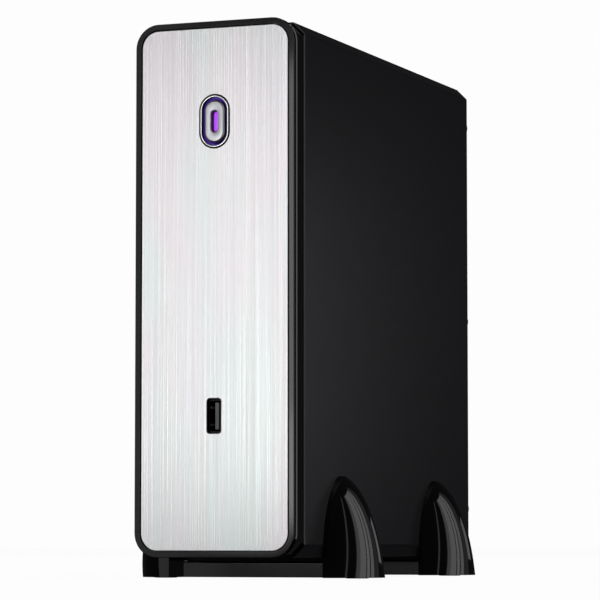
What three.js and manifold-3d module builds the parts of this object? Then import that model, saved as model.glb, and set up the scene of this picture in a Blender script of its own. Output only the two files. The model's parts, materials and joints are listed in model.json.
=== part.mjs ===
// A slim desktop computer tower with a small square mainboard, standing on two cradle feet.
// Millimetres, +Z up. The front faces -Y. X runs from the left wall to the right wall of the cover.
// Inside this file y is measured backwards from the plane of the front rim, and z upwards from the desk;
// the exported group is then shifted so that its origin is the bottom centre of the whole object.
import * as THREE from "three";
import { mergeVertices } from "three/addons/utils/BufferGeometryUtils.js";
import Module from "manifold-3d";

const wasm = await Module();
wasm.setup();

// ---------- Driving dimensions ----------
const CASE_HEIGHT = 220;
const CASE_WIDTH = 68.6; // across the steel walls
const RIM_WIDTH = 70.6; // the front rim stands 1 mm proud on each side
const STAND = 8.7; // desk to case floor
const CHAMFER = 5; // 45 degree long corners of the case
const SHEET = 1; // steel thickness
const GAP = 0.3; // clearance between neighbouring pieces
const COLLAR_END = 13.2; // rear edge of the plastic front
const CASE_FRONT = COLLAR_END + GAP;
const CASE_REAR = 223.2;
const SCREW_HEAD = 5.4;

const BOTTOM = STAND;
const TOP = STAND + CASE_HEIGHT;
const MIDDLE = (TOP + BOTTOM) / 2;
const HALF = CASE_WIDTH / 2;
const INNER = HALF - SHEET; // inner face of the side walls
const TOTAL_DEPTH = CASE_REAR + GAP + SCREW_HEAD;

const RIM_EDGE = 3; // width of the rim around the metal panel
const RIM_RADIUS = 10;
const BUTTON_Z = BOTTOM + 178.5;
const PORT_Z = BOTTOM + 57.6;
const BUTTON_TRAVEL_ROOM = 1.3;

const FRONT_PLATE = 15; // front face of the inner steel plate
const REAR_PLATE = 221;
const PLATE_MARGIN = 2.7; // plates stay inside the folded flanges
const SCREW_X = 28.6;
const SCREW_Z = [BOTTOM + 22, MIDDLE, TOP - 18];

const BOARD_X = -25.3; // component side of the mainboard
const BOARD_THICKNESS = 1.6;
const BOARD_SIDE = 170;
const BOARD_Y = 48.5;
const BOARD_Z = 13;
const BOARD_HOLES = [BOARD_Y + 4.9, BOARD_Y + 159.84].flatMap((y) =>
  [BOARD_Z + 6.35, BOARD_Z + 163.83].map((z) => ({ y, z })),
);
const PARTS_X = BOARD_X + GAP; // underside of what stands on the mainboard
const HEADER = 4; // height of the plug headers
const LEAD_END = BOARD_X + HEADER + 0.8;

const IO = { x0: -29.4, x1: 15.05, z0: 17, z1: 175.75 };
const IO_MOUTH = 223; // plane of the socket mouths
const REAR_FAN = { x: -8, z: 205, side: 40, depth: 20 };
const CPU = { y: 135, z: 100 };
const CPU_FAN = { side: 60, depth: 10 };
const JACK = { x: 19.5, z: 192 };

const FOOT_Y = [50.4, 168.6]; // centre of each foot's pads
// Each fin is two quarter ellipses in plan. They meet on a ridge behind the pads that bows forward.
const FIN = { out: 19.4, front: 21, rear: 12, ridge: 3.7, bow: 3.5, high: 43, inner: HALF + GAP };

// ---------- Materials ----------
const paint = (color, roughness, metalness = 0) =>
  new THREE.MeshStandardMaterial({ color, roughness, metalness });
const MATERIALS = {
  gloss_black: paint(0x0b0b0d, 0.18),
  rubber: paint(0x111111, 0.9),
  brushed_aluminium: paint(0xd4d8dc, 0.35, 1),
  satin_silver: paint(0xc8cbd0, 0.35, 0.8),
  purple_lens: paint(0x8a3df0, 0.25),
  black_steel: paint(0x101013, 0.45, 0.3),
  bare_steel: paint(0xb9bcc0, 0.4, 1),
  nickel: paint(0xc9c7c0, 0.25, 1),
  black_plastic: paint(0x141416, 0.5),
  circuit_board: paint(0x12402c, 0.5),
  white_plastic: paint(0xd9d9d2, 0.5),
  led_clear: paint(0xe8d8ff, 0.15),
  heatsink: paint(0xaeb2b8, 0.4, 1),
  drive_case: paint(0x9a9da2, 0.35, 1),
  cable_black: paint(0x151515, 0.6),
  cable_red: paint(0xa01c1c, 0.55),
};

const tower = new THREE.Group();
const inside = new THREE.Group();
inside.position.y = -TOTAL_DEPTH / 2;
tower.add(inside);
const add = (name, material, geometry) => {
  const mesh = new THREE.Mesh(geometry, MATERIALS[material]);
  mesh.name = name;
  inside.add(mesh);
};

// ---------- Shapes ----------
function roundRect(width, height, radius, cx = 0, cy = 0) {
  const path = new THREE.Shape();
  const [l, r, b, t] = [cx - width / 2, cx + width / 2, cy - height / 2, cy + height / 2];
  const quarter = Math.PI / 2;
  path.moveTo(l + radius, b);
  path.absarc(r - radius, b + radius, radius, -quarter, 0);
  path.absarc(r - radius, t - radius, radius, 0, quarter);
  path.absarc(l + radius, t - radius, radius, quarter, 2 * quarter);
  path.absarc(l + radius, b + radius, radius, 2 * quarter, 3 * quarter);
  path.closePath();
  return path;
}
const stadium = (width, height, cx, cy) => roundRect(width, height, width / 2, cx, cy);
const polygon = (points) => new THREE.Shape(points.map(([x, y]) => new THREE.Vector2(x, y)));
const rectangle = (x0, x1, y0, y1) => polygon([[x0, y0], [x1, y0], [x1, y1], [x0, y1]]);
const circle = (radius, cx = 0, cy = 0) => roundRect(2 * radius, 2 * radius, radius, cx, cy);
const chamferRect = (width, height, chamfer, cy = 0) => {
  const [w, h, c] = [width / 2, height / 2, chamfer];
  const corners = [[w - c, -h], [w, c - h], [w, h - c], [w - c, h]];
  const mirrored = corners.map(([x, y]) => [-x, y]).reverse();
  return polygon([...corners, ...mirrored].map(([x, y]) => [x, y + cy]));
};
// An open polyline of outer corners, given a thickness towards its right-hand side.
function sheetProfile(points, thickness) {
  const p = points.map(([x, y]) => new THREE.Vector2(x, y));
  const side = (a, b) => {
    const d = b.clone().sub(a).normalize();
    return new THREE.Vector2(d.y, -d.x);
  };
  const inner = p.map((q, i) => {
    const before = i ? side(p[i - 1], q) : side(q, p[1]);
    const after = i < p.length - 1 ? side(q, p[i + 1]) : before;
    const mitre = before.clone().add(after).normalize();
    return q.clone().addScaledVector(mitre, thickness / mitre.dot(before));
  });
  return new THREE.Shape([...p, ...inner.reverse()]);
}

// ---------- Solids ----------
// Which way each local axis of an extruded shape points. The shape's own plane is XZ, YZ or XY.
const BASES = {
  y: new THREE.Matrix4().makeRotationX(Math.PI / 2),
  x: new THREE.Matrix4().makeBasis(
    new THREE.Vector3(0, 1, 0),
    new THREE.Vector3(0, 0, 1),
    new THREE.Vector3(1, 0, 0),
  ),
  z: new THREE.Matrix4(),
};
function prism(axis, shape, from, to, curveSegments = 3, bevel = 0) {
  const geometry = new THREE.ExtrudeGeometry(shape, {
    depth: to - from - 2 * bevel,
    curveSegments,
    bevelEnabled: bevel > 0,
    bevelThickness: bevel,
    bevelSize: bevel,
    bevelOffset: -bevel,
    bevelSegments: 2,
  });
  geometry.translate(0, 0, bevel).applyMatrix4(BASES[axis]);
  const shift = { x: [from, 0, 0], y: [0, to, 0], z: [0, 0, from] }[axis];
  return geometry.translate(...shift);
}
const box = (x0, x1, y0, y1, z0, z1) =>
  new THREE.BoxGeometry(x1 - x0, y1 - y0, z1 - z0).translate(
    (x0 + x1) / 2,
    (y0 + y1) / 2,
    (z0 + z1) / 2,
  );
const rod = (axis, radius, from, to, a, b, segments = 16) => {
  const turned = new THREE.CylinderGeometry(radius, radius, to - from, segments);
  const middle = (from + to) / 2;
  if (axis === "x") return turned.rotateZ(Math.PI / 2).translate(middle, a, b);
  if (axis === "y") return turned.translate(a, middle, b);
  return turned.rotateX(Math.PI / 2).translate(a, b, middle);
};

function solid(geometry) {
  const bare = geometry.clone();
  bare.deleteAttribute("normal");
  bare.deleteAttribute("uv");
  const merged = mergeVertices(bare, 1e-4);
  const corners = Array.from(merged.index.array);
  const kept = [];
  for (let i = 0; i < corners.length; i += 3) {
    const triangle = corners.slice(i, i + 3);
    if (new Set(triangle).size === 3) kept.push(...triangle);
  }
  return new wasm.Manifold(
    new wasm.Mesh({
      numProp: 3,
      vertProperties: merged.attributes.position.array,
      triVerts: new Uint32Array(kept),
    }),
  );
}
function surface(manifold) {
  const mesh = manifold.getMesh();
  return new THREE.BufferGeometry()
    .setAttribute("position", new THREE.BufferAttribute(mesh.vertProperties, 3))
    .setIndex(new THREE.BufferAttribute(mesh.triVerts, 1));
}
const join = (...pieces) => surface(pieces.map(solid).reduce((a, b) => a.add(b)));
const cut = (piece, ...tools) =>
  surface(tools.map(solid).reduce((a, b) => a.subtract(b), solid(piece)));
// A flat plate with openings right through it.
const plate = (axis, outline, openings, from, to, curveSegments = 3) =>
  cut(
    prism(axis, outline, from, to, curveSegments),
    ...openings.map((opening) => prism(axis, opening, from - 1, to + 1, curveSegments)),
  );

// Closed rings of points with the same count, joined by side faces and closed by flat fans.
function loft(rings) {
  const count = rings[0].length;
  const index = [];
  for (let r = 0; r < rings.length - 1; r++)
    for (let i = 0; i < count; i++) {
      const [a, b] = [r * count + i, r * count + ((i + 1) % count)];
      index.push(a, b, b + count, a, b + count, a + count);
    }
  const last = (rings.length - 1) * count;
  for (let i = 1; i < count - 1; i++) {
    index.push(0, i + 1, i);
    index.push(last, last + i, last + i + 1);
  }
  return new THREE.BufferGeometry()
    .setAttribute("position", new THREE.Float32BufferAttribute(rings.flat(2), 3))
    .setIndex(index);
}
function tube(points, radius, steps = 14) {
  const extrudePath = new THREE.CatmullRomCurve3(points.map((p) => new THREE.Vector3(...p)));
  return new THREE.ExtrudeGeometry(circle(radius), { steps, extrudePath, curveSegments: 1 });
}

// ---------- Front ----------
const buttonHole = () => stadium(14.1, 23, 0, BUTTON_Z);
const portHole = () => roundRect(6.6, 14.65, 1.5, 0, PORT_Z);

function frontBezel() {
  const rim = prism("y", roundRect(RIM_WIDTH, CASE_HEIGHT, RIM_RADIUS, 0, MIDDLE), 0, 2.8, 3, 0.9);
  const lip = prism("y", roundRect(RIM_WIDTH - 0.5, CASE_HEIGHT - 0.5, 9.6, 0, MIDDLE), 1.8, 3.4);
  const wall = 2;
  const collar = prism("y", chamferRect(CASE_WIDTH, CASE_HEIGHT, CHAMFER, MIDDLE), 3, COLLAR_END);
  const hollow = prism(
    "y",
    chamferRect(CASE_WIDTH - 2 * wall, CASE_HEIGHT - 2 * wall, 3.8, MIDDLE),
    3.4,
    COLLAR_END + 1,
  );
  const shell = cut(join(rim, lip, collar), hollow);
  const recess = prism(
    "y",
    roundRect(RIM_WIDTH - 2 * RIM_EDGE, CASE_HEIGHT - 2 * RIM_EDGE, RIM_RADIUS - RIM_EDGE, 0, MIDDLE),
    -1,
    1.5,
  );
  const hooks = [-1, 1].flatMap((side) =>
    [BOTTOM + 30, TOP - 30].flatMap((z) => [
      box(side > 0 ? 27 : -29, side > 0 ? 29 : -27, 3.2, 18.2, z - 4, z + 4),
      box(side > 0 ? 28.5 : -30, side > 0 ? 30 : -28.5, 16.6, 18, z - 4, z + 4),
    ]),
  );
  const posts = [-15.5, 15.5].map((dz) => rod("y", 2.2, 3.2, 11.5, 0, BUTTON_Z + dz, 12));
  return cut(
    join(shell, ...hooks, ...posts),
    recess,
    prism("y", buttonHole(), -1, 4),
    prism("y", portHole(), -1, 4),
  );
}
function frontPanel() {
  const outline = roundRect(
    RIM_WIDTH - 2 * RIM_EDGE - 2 * GAP,
    CASE_HEIGHT - 2 * RIM_EDGE - 2 * GAP,
    RIM_RADIUS - RIM_EDGE - GAP,
    0,
    MIDDLE,
  );
  return plate("y", outline, [buttonHole(), portHole()], 0.3, 1.2);
}
const ovalRing = (outer, inner, from, to) =>
  plate("y", stadium(...outer, 0, BUTTON_Z), [stadium(...inner, 0, BUTTON_Z)], from, to);
const SWITCH_Z = BUTTON_Z - 7.4; // the switch sits below the light bar
function powerButton() {
  const cap = prism("y", stadium(8.7, 17.4, 0, BUTTON_Z), 0, 4.6, 3, 0.35);
  const stem = box(-1.5, 1.5, 4.4, 6.7, SWITCH_Z - 1.1, SWITCH_Z + 1.1);
  return cut(
    join(cap, stem),
    prism("y", stadium(3.1, 8.9, 0, BUTTON_Z), -1, 3),
    prism("y", stadium(3.7, 9.5, 0, BUTTON_Z), 2.4, 5),
  );
}
function powerSwitch() {
  const body = box(-3, 3, 8.6, 11.5, SWITCH_Z - 3, SWITCH_Z + 3);
  return cut(body, rod("y", 1.85, 8, 9.2 + BUTTON_TRAVEL_ROOM + GAP, 0, SWITCH_Z));
}
function usbShell() {
  const outer = prism("y", roundRect(5.7, 13.2, 0.5, 0, PORT_Z), 1.8, 15.8, 2);
  return cut(outer, box(-2.5, 2.5, 1, 14.8, PORT_Z - 6.25, PORT_Z + 6.25));
}
function front() {
  add("front_bezel", "gloss_black", frontBezel());
  add("front_panel", "brushed_aluminium", frontPanel());
  add("button_ring", "gloss_black", ovalRing([13.5, 22.4], [12.1, 21], 0, 8.5));
  add("light_ring", "purple_lens", ovalRing([11.5, 20.4], [9.5, 18.2], 1.4, 8.2));
  add("power_button", "satin_silver", powerButton());
  add("button_lens", "purple_lens", prism("y", stadium(3.1, 8.9, 0, BUTTON_Z), 2.7, 5.4));
  add("switch_plunger", "black_plastic", rod("y", 1.5, 7, 9.2, 0, SWITCH_Z, 12));
  add("power_switch", "black_plastic", powerSwitch());
  add("switch_board", "circuit_board", box(-7.5, 7.5, 11.8, 13, BUTTON_Z - 18, BUTTON_Z + 18));
  add("power_led", "led_clear", rod("y", 1.5, 8, 11.5, 0, BUTTON_Z + 1, 12));
  add("usb_shell", "nickel", usbShell());
  add("usb_tongue", "black_plastic", box(0.25, 2.1, 3.6, 14.5, PORT_Z - 5.55, PORT_Z + 5.55));
  add("usb_board", "circuit_board", box(-4.6, -3.4, 5, 24, PORT_Z - 9.5, PORT_Z + 9.5));
}

// ---------- Steel case ----------
function chassisBase() {
  const step = 1.4; // the flanges drop under the cover
  const upper = [
    [-HALF, TOP - CHAMFER],
    [-HALF + CHAMFER, TOP],
    [-HALF + CHAMFER + step, TOP - step],
    [-12, TOP - step],
  ];
  const lower = upper.map(([x, z]) => [x, 2 * MIDDLE - z]).reverse();
  const shell = prism("y", sheetProfile([...lower, ...upper], SHEET), CASE_FRONT, REAR_PLATE + SHEET);
  const boss = BOARD_X - BOARD_THICKNESS - GAP;
  const bosses = BOARD_HOLES.map(({ y, z }) => rod("x", 3.2, -HALF + 0.5, boss, y, z, 12));
  const bores = BOARD_HOLES.map(({ y, z }) => rod("x", 1.6, -HALF + 1.5, boss + 1, y, z, 10));
  const supports = [75, 170].map((y) => rod("x", 3, -HALF + 0.5, boss, y, 205, 12));
  return cut(join(shell, ...bosses, ...supports), ...bores);
}
const plateOutline = () =>
  chamferRect(2 * (INNER - GAP), CASE_HEIGHT - 2 * PLATE_MARGIN, CHAMFER, MIDDLE);
function frontPlate() {
  const hookWindows = [-28.5, 28.5].flatMap((x) =>
    [BOTTOM + 30, TOP - 30].map((z) => rectangle(x - 1.9, x + 1.9, z - 4.4, z + 4.4)),
  );
  const windows = [roundRect(22, 44, 2, 0, BUTTON_Z), roundRect(16, 24, 2, 0, PORT_Z), ...hookWindows];
  const wall = plate("y", plateOutline(), windows, FRONT_PLATE, FRONT_PLATE + SHEET, 1);
  const edge = -INNER + GAP;
  return join(wall, box(edge, edge + SHEET, FRONT_PLATE, 26, BOTTOM + 12, TOP - 12));
}
// Vent holes on a hexagonal grid, inside a circle.
function fanVents(cx, cz, reach) {
  const pitch = 6.1;
  const holes = [];
  for (let row = -4; row <= 4; row++)
    for (let column = -4; column <= 4; column++) {
      const x = (column + (row % 2) / 2) * pitch;
      const z = row * pitch * Math.sin(Math.PI / 3);
      if (Math.hypot(x, z) > reach) continue;
      const corner = (k) => [
        cx + x + 2.7 * Math.sin((k * Math.PI) / 3),
        cz + z + 2.7 * Math.cos((k * Math.PI) / 3),
      ];
      holes.push(polygon([0, 1, 2, 3, 4, 5].map(corner)));
    }
  return holes;
}
function rearPlate() {
  const slots = Array.from({ length: 8 }, (_, i) =>
    roundRect(6.4, 2.6, 1.3, 19.5, 40 + i * 12),
  );
  const openings = [
    rectangle(IO.x0, IO.x1, IO.z0, IO.z1),
    circle(4.6, JACK.x, JACK.z),
    ...SCREW_Z.map((z) => circle(1.8, SCREW_X, z)),
    ...fanVents(REAR_FAN.x, REAR_FAN.z, 16.8),
    ...slots,
  ];
  const wall = plate("y", plateOutline(), openings, REAR_PLATE, REAR_PLATE + SHEET, 1);
  const edge = -INNER + GAP;
  return join(wall, box(edge, edge + SHEET, 213, REAR_PLATE + SHEET, BOTTOM + 12, TOP - 12));
}
function cover() {
  const outline = [
    [-HALF + CHAMFER + 1.7, TOP],
    [HALF - CHAMFER, TOP],
    [HALF, TOP - CHAMFER],
    [HALF, BOTTOM + CHAMFER],
    [HALF - CHAMFER, BOTTOM],
    [-HALF + CHAMFER + 1.7, BOTTOM],
  ];
  const sleeve = prism("y", sheetProfile(outline, SHEET), CASE_FRONT, CASE_REAR);
  const lip = box(24, HALF - 0.5, CASE_REAR - 0.9, CASE_REAR, BOTTOM + 7, TOP - 7);
  const screwHoles = SCREW_Z.map((z) => rod("y", 1.8, CASE_REAR - 2, CASE_REAR + 1, SCREW_X, z, 12));
  const slot = () => roundRect(30, 3, 1.5);
  const vents = Array.from({ length: 10 }, (_, i) => 84 + i * 9).flatMap((y) =>
    [BOTTOM, TOP].map((z) => prism("z", slot(), z - 2, z + 2, 1).translate(0, y, 0)),
  );
  return cut(join(sleeve, lip), ...screwHoles, ...vents);
}
function thumbScrew(z) {
  const teeth = 12;
  const outline = Array.from({ length: 2 * teeth }, (_, i) => {
    const radius = i % 2 ? 3.8 : 4.3;
    const turn = (i * Math.PI) / teeth;
    return [SCREW_X + radius * Math.cos(turn), z + radius * Math.sin(turn)];
  });
  const head = prism("y", polygon(outline), CASE_REAR + GAP, TOTAL_DEPTH);
  return join(head, rod("y", 1.4, 214, CASE_REAR + 1, SCREW_X, z, 10));
}
function steelCase() {
  add("chassis_base", "black_steel", chassisBase());
  add("front_plate", "bare_steel", frontPlate());
  add("rear_plate", "black_steel", rearPlate());
  add("cover", "black_steel", cover());
  SCREW_Z.forEach((z, i) => add(`thumb_screw_${i + 1}`, "nickel", thumbScrew(z)));
}

// ---------- Mainboard and what stands on it ----------
// A soldered component: its middle, its size along y and z, and how far it stands up.
const soldered = ([y, z, deep, high, tall]) =>
  box(BOARD_X - 0.5, BOARD_X + tall, y - deep / 2, y + deep / 2, z - high / 2, z + high / 2);
const MAINBOARD_PARTS = [
  [51.2, 133, 5, 10, HEADER],
  [51.5, 98, 5, 10, HEADER],
  [134, 45, 7, 8, HEADER],
  [86, 171, 24, 10, HEADER],
  [166, 55, 22, 22, 8],
  [95, 40, 14, 14, 1.5],
  [178, 84, 9, 9, 6],
  [178, 97, 9, 9, 6],
  [178, 110, 9, 9, 6],
  [178, 123, 9, 9, 6],
];
const POWER_BOARD_PARTS = [
  [95, 195, 24, 10, HEADER],
  [184, 206, 8, 8, HEADER],
  [120, 204, 14, 14, 9],
  [140, 204, 14, 14, 9],
  [160, 204, 9, 9, 7],
  [75, 208, 9, 12, 3],
];
function mainboard() {
  const outline = rectangle(BOARD_Y, BOARD_Y + BOARD_SIDE, BOARD_Z, BOARD_Z + BOARD_SIDE);
  const holes = BOARD_HOLES.map(({ y, z }) => circle(2, y, z));
  const card = plate("x", outline, holes, BOARD_X - BOARD_THICKNESS, BOARD_X, 1);
  return join(card, ...MAINBOARD_PARTS.map(soldered));
}
function powerBoard() {
  const card = box(BOARD_X - BOARD_THICKNESS, BOARD_X, 60, 190, 187, 222);
  return join(card, ...POWER_BOARD_PARTS.map(soldered));
}
const boardScrew = ({ y, z }) =>
  join(
    rod("x", 2.9, PARTS_X, PARTS_X + 1.8, y, z, 12),
    rod("x", 1.2, PARTS_X - 6.2, PARTS_X + 0.5, y, z, 8),
  );

const HEATSINK_FOOT = PARTS_X + 4.5 + GAP;
const HEATSINK_TOP = HEATSINK_FOOT + 17;
function heatsink() {
  const fins = 12;
  const half = 33;
  const pitch = (2 * half - 1.2) / (fins - 1);
  const outline = [[HEATSINK_FOOT, half], [HEATSINK_FOOT, -half]];
  for (let i = 0; i < fins; i++) {
    const z = -half + i * pitch;
    if (i) outline.push([HEATSINK_FOOT + 4, z]);
    outline.push([HEATSINK_TOP, z], [HEATSINK_TOP, z + 1.2]);
    if (i < fins - 1) outline.push([HEATSINK_FOOT + 4, z + 1.2]);
  }
  return prism("y", polygon(outline), CPU.y - half, CPU.y + half).translate(0, 0, CPU.z);
}
const HUB_PLATE = 1.5; // carries the motor in the middle of a fan frame
// A square fan frame lying in the XY plane from z = 0 up: side walls, hub plate and three struts.
function fanFrame(side, depth, bore) {
  const hub = 0.2 * side;
  const ring = plate("z", roundRect(side, side, 0.08 * side), [circle(bore)], 0, depth, 4);
  const struts = [0, 1, 2].map((k) =>
    box(0, bore + 1, -1.2, 1.2, 0, HUB_PLATE).rotateZ((k * 2 * Math.PI) / 3),
  );
  return join(ring, rod("z", hub, 0, HUB_PLATE, 0, 0), ...struts);
}
// A hub with pitched blades, turning about Z, from z = 0 up.
function fanRotor(hub, tip, depth) {
  const blades = Array.from({ length: 7 }, (_, k) =>
    new THREE.BoxGeometry(tip - hub + 1, 1.1, depth * 1.05)
      .rotateX(0.62)
      .translate((tip + hub) / 2 - 0.5, 0, depth / 2)
      .rotateZ((k * 2 * Math.PI) / 7),
  );
  return join(rod("z", hub, 0, depth, 0, 0, 20), ...blades);
}
const FAN_SPINE = HUB_PLATE + GAP;
function coolers() {
  const cpuFanX = HEATSINK_TOP + GAP;
  const onCpu = (g, x) => g.rotateY(Math.PI / 2).translate(x, CPU.y, CPU.z);
  const [near, far] = [CPU.y - 21, CPU.y + 21];
  const chip = box(PARTS_X, PARTS_X + 4.5, near, far, CPU.z - 21, CPU.z + 21);
  add("cpu_package", "black_plastic", chip);
  add("cpu_heatsink", "heatsink", heatsink());
  add("cpu_fan_frame", "black_plastic", onCpu(fanFrame(CPU_FAN.side, CPU_FAN.depth, 28), cpuFanX));
  add("cpu_fan_rotor", "black_plastic", onCpu(fanRotor(11.5, 26.8, 7.4), cpuFanX + FAN_SPINE));

  const rearEnd = REAR_PLATE - GAP;
  const onRear = (g, y) => g.rotateX(Math.PI / 2).translate(REAR_FAN.x, y, REAR_FAN.z);
  add("rear_fan_frame", "black_plastic", onRear(fanFrame(REAR_FAN.side, REAR_FAN.depth, 18.4), rearEnd));
  add("rear_fan_rotor", "black_plastic", onRear(fanRotor(8.5, 17.4, 13), rearEnd - FAN_SPINE));
}

const MEMORY = { y: 59.2, z0: 28, z1: 168 };
function memorySocket() {
  const { y, z0, z1 } = MEMORY;
  const body = box(PARTS_X, PARTS_X + 8, y - 3.2, y + 3.2, z0, z1);
  const towers = [[z0, z0 + 3], [z1 - 3, z1]].map(([a, b]) =>
    box(PARTS_X, PARTS_X + 14, y - 3.2, y + 3.2, a, b),
  );
  const slot = box(PARTS_X + 2, PARTS_X + 20, y - 1, y + 1, z0 + 2.9, z1 - 2.9);
  return cut(join(body, ...towers), slot);
}
function memoryModule() {
  const { y, z0, z1 } = MEMORY;
  const card = box(PARTS_X + 2.4, PARTS_X + 32.4, y - 0.6, y + 0.6, z0 + 3.3, z1 - 3.3);
  const chips = Array.from({ length: 8 }, (_, i) => {
    const z = z0 + 14 + i * 15;
    return box(PARTS_X + 15, PARTS_X + 27, y - 1.7, y + 1.7, z, z + 9);
  });
  return join(card, ...chips);
}
// end is -1 for the lower end of the socket and +1 for the upper end.
function memoryLatch(end) {
  const { y, z0, z1 } = MEMORY;
  const z = end < 0 ? z0 : z1;
  const span = (near, far) => [z + end * near, z + end * far].sort((a, b) => a - b);
  const lever = box(PARTS_X + 1.5, PARTS_X + 17, y - 2.6, y + 2.6, ...span(GAP, 3.4));
  const hook = box(PARTS_X + 14.3, PARTS_X + 17, y - 2.6, y + 2.6, ...span(-3, 3.4));
  return join(lever, hook);
}

// A metal-shelled socket block: its size, and the openings cut into its mouth.
function socketBlock(z0, z1, height, openings, depth = 18) {
  const body = box(PARTS_X, PARTS_X + height, IO_MOUTH - depth, IO_MOUTH, z0, z1);
  return openings.length ? cut(body, ...openings) : body;
}
// One USB opening, leaving the tongue standing in it.
function usbOpening(x, z) {
  const cavity = box(x - 2.55, x + 2.55, IO_MOUTH - 12, IO_MOUTH + 1, z - 6.25, z + 6.25);
  const tongue = box(x + 0.2, x + 2, IO_MOUTH - 13, IO_MOUTH - 3.5, z - 5.5, z + 5.5);
  return cut(cavity, tongue);
}
const SOCKETS = {
  audio_sockets: { z0: 23, z1: 35.5, height: 33, openings: (z) =>
    [5.5, 16.5, 27.5].map((dx) => rod("y", 1.8, IO_MOUTH - 12, IO_MOUTH + 1, PARTS_X + dx, z, 12)) },
  lan_socket: { z0: 50, z1: 66, height: 28, openings: (z) => [
    usbOpening(PARTS_X + 4.2, z),
    usbOpening(PARTS_X + 11.2, z),
    box(PARTS_X + 17, PARTS_X + 25.5, IO_MOUTH - 11, IO_MOUTH + 1, z - 5.9, z + 5.9),
  ] },
  usb_sockets_1: { z0: 73, z1: 87.5, height: 16, openings: (z) =>
    [4.2, 11.6].map((dx) => usbOpening(PARTS_X + dx, z)) },
  hdmi_socket: { z0: 95, z1: 110.5, height: 6.2, openings: (z) =>
    [box(PARTS_X + 0.8, PARTS_X + 5.3, IO_MOUTH - 8, IO_MOUTH + 1, z - 7, z + 7)] },
  vga_socket: { z0: 118, z1: 149, height: 12.5, openings: () => [] },
  usb_sockets_2: { z0: 157, z1: 171.5, height: 16, openings: (z) =>
    [4.2, 11.6].map((dx) => usbOpening(PARTS_X + dx, z)) },
};
function sockets() {
  for (const [name, { z0, z1, height, openings }] of Object.entries(SOCKETS))
    add(name, "nickel", socketBlock(z0, z1, height, openings((z0 + z1) / 2)));
  const windows = Object.values(SOCKETS).map(({ z0, z1, height }) =>
    rectangle(PARTS_X - GAP, PARTS_X + height + GAP, z0 - GAP, z1 + GAP),
  );
  const outline = rectangle(IO.x0 + GAP, IO.x1 - GAP, IO.z0 + GAP, IO.z1 - GAP);
  add("io_shield", "bare_steel", plate("y", outline, windows, REAR_PLATE + 0.2, REAR_PLATE + 0.8));
}
function dcJack() {
  const body = box(JACK.x - 5, JACK.x + 5, 207, REAR_PLATE - GAP, JACK.z - 5, JACK.z + 5);
  const nose = rod("y", 4.2, 215, IO_MOUTH + 0.4, JACK.x, JACK.z, 20);
  const bore = rod("y", 2.8, 213, IO_MOUTH + 1, JACK.x, JACK.z, 20);
  const pin = rod("y", 1, 212, IO_MOUTH - 1.5, JACK.x, JACK.z, 10);
  return join(cut(join(body, nose), bore), pin);
}
function board() {
  add("mainboard", "circuit_board", mainboard());
  BOARD_HOLES.forEach((hole, i) => add(`board_screw_${i + 1}`, "nickel", boardScrew(hole)));
  coolers();
  add("memory_socket", "black_plastic", memorySocket());
  add("memory_module", "circuit_board", memoryModule());
  add("memory_latch_lower", "white_plastic", memoryLatch(-1));
  add("memory_latch_upper", "white_plastic", memoryLatch(1));
  sockets();
  add("dc_jack", "black_plastic", dcJack());
}

// ---------- Drive, power board and leads ----------
const DRIVE = { x0: 13.6, x1: 23.1, y0: 22, y1: 122, z0: 17, z1: 87 };
function driveAndPower() {
  const face = FRONT_PLATE + SHEET + GAP;
  const shelf = DRIVE.x0 - GAP;
  const bracket = join(
    box(shelf - SHEET, shelf, face, DRIVE.y1 + 2, DRIVE.z0 - 3, DRIVE.z1 + 3),
    box(shelf - SHEET, DRIVE.x1 + 1.9, face, face + SHEET, DRIVE.z0 - 3, DRIVE.z1 + 3),
  );
  add("drive_bracket", "bare_steel", bracket);
  add("hard_drive", "drive_case", box(DRIVE.x0, DRIVE.x1, DRIVE.y0, DRIVE.y1, DRIVE.z0, DRIVE.z1));
  add("power_board", "circuit_board", powerBoard());
}
const LEADS = {
  switch_lead: { material: "cable_black", radius: 1.4, points: [
    [0, 13.6, BUTTON_Z - 12], [0, 24, BUTTON_Z - 16], [-8, 36, 155],
    [-15, 44, 140], [-15, 51, 133], [LEAD_END, 51, 133],
  ] },
  usb_lead: { material: "cable_black", radius: 1.8, points: [
    [-4, 25, PORT_Z], [-5, 32, PORT_Z + 3], [-11, 40, 82],
    [-16, 46, 92], [-15, 51.5, 98], [LEAD_END, 51.5, 98],
  ] },
  sata_lead: { material: "cable_red", radius: 1.8, points: [
    [18.3, 122.6, 30], [17, 130, 30], [5, 133, 33], [-12, 133, 42], [-15, 134, 45], [LEAD_END, 134, 45],
  ] },
  power_lead: { material: "cable_black", radius: 3, points: [
    [LEAD_END, 95, 195], [-15, 95, 195], [-13, 92, 187], [-13, 88, 179], [-15, 86, 171], [LEAD_END, 86, 171],
  ] },
  jack_lead: { material: "cable_black", radius: 1.6, points: [
    [JACK.x, 206.2, JACK.z], [17, 199, 194], [0, 191, 202],
    [-9, 186.5, 205.5], [-15, 184, 206], [LEAD_END, 184, 206],
  ] },
};
function leads() {
  for (const [name, { material, radius, points }] of Object.entries(LEADS))
    add(name, material, tube(points, radius));
}

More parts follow.
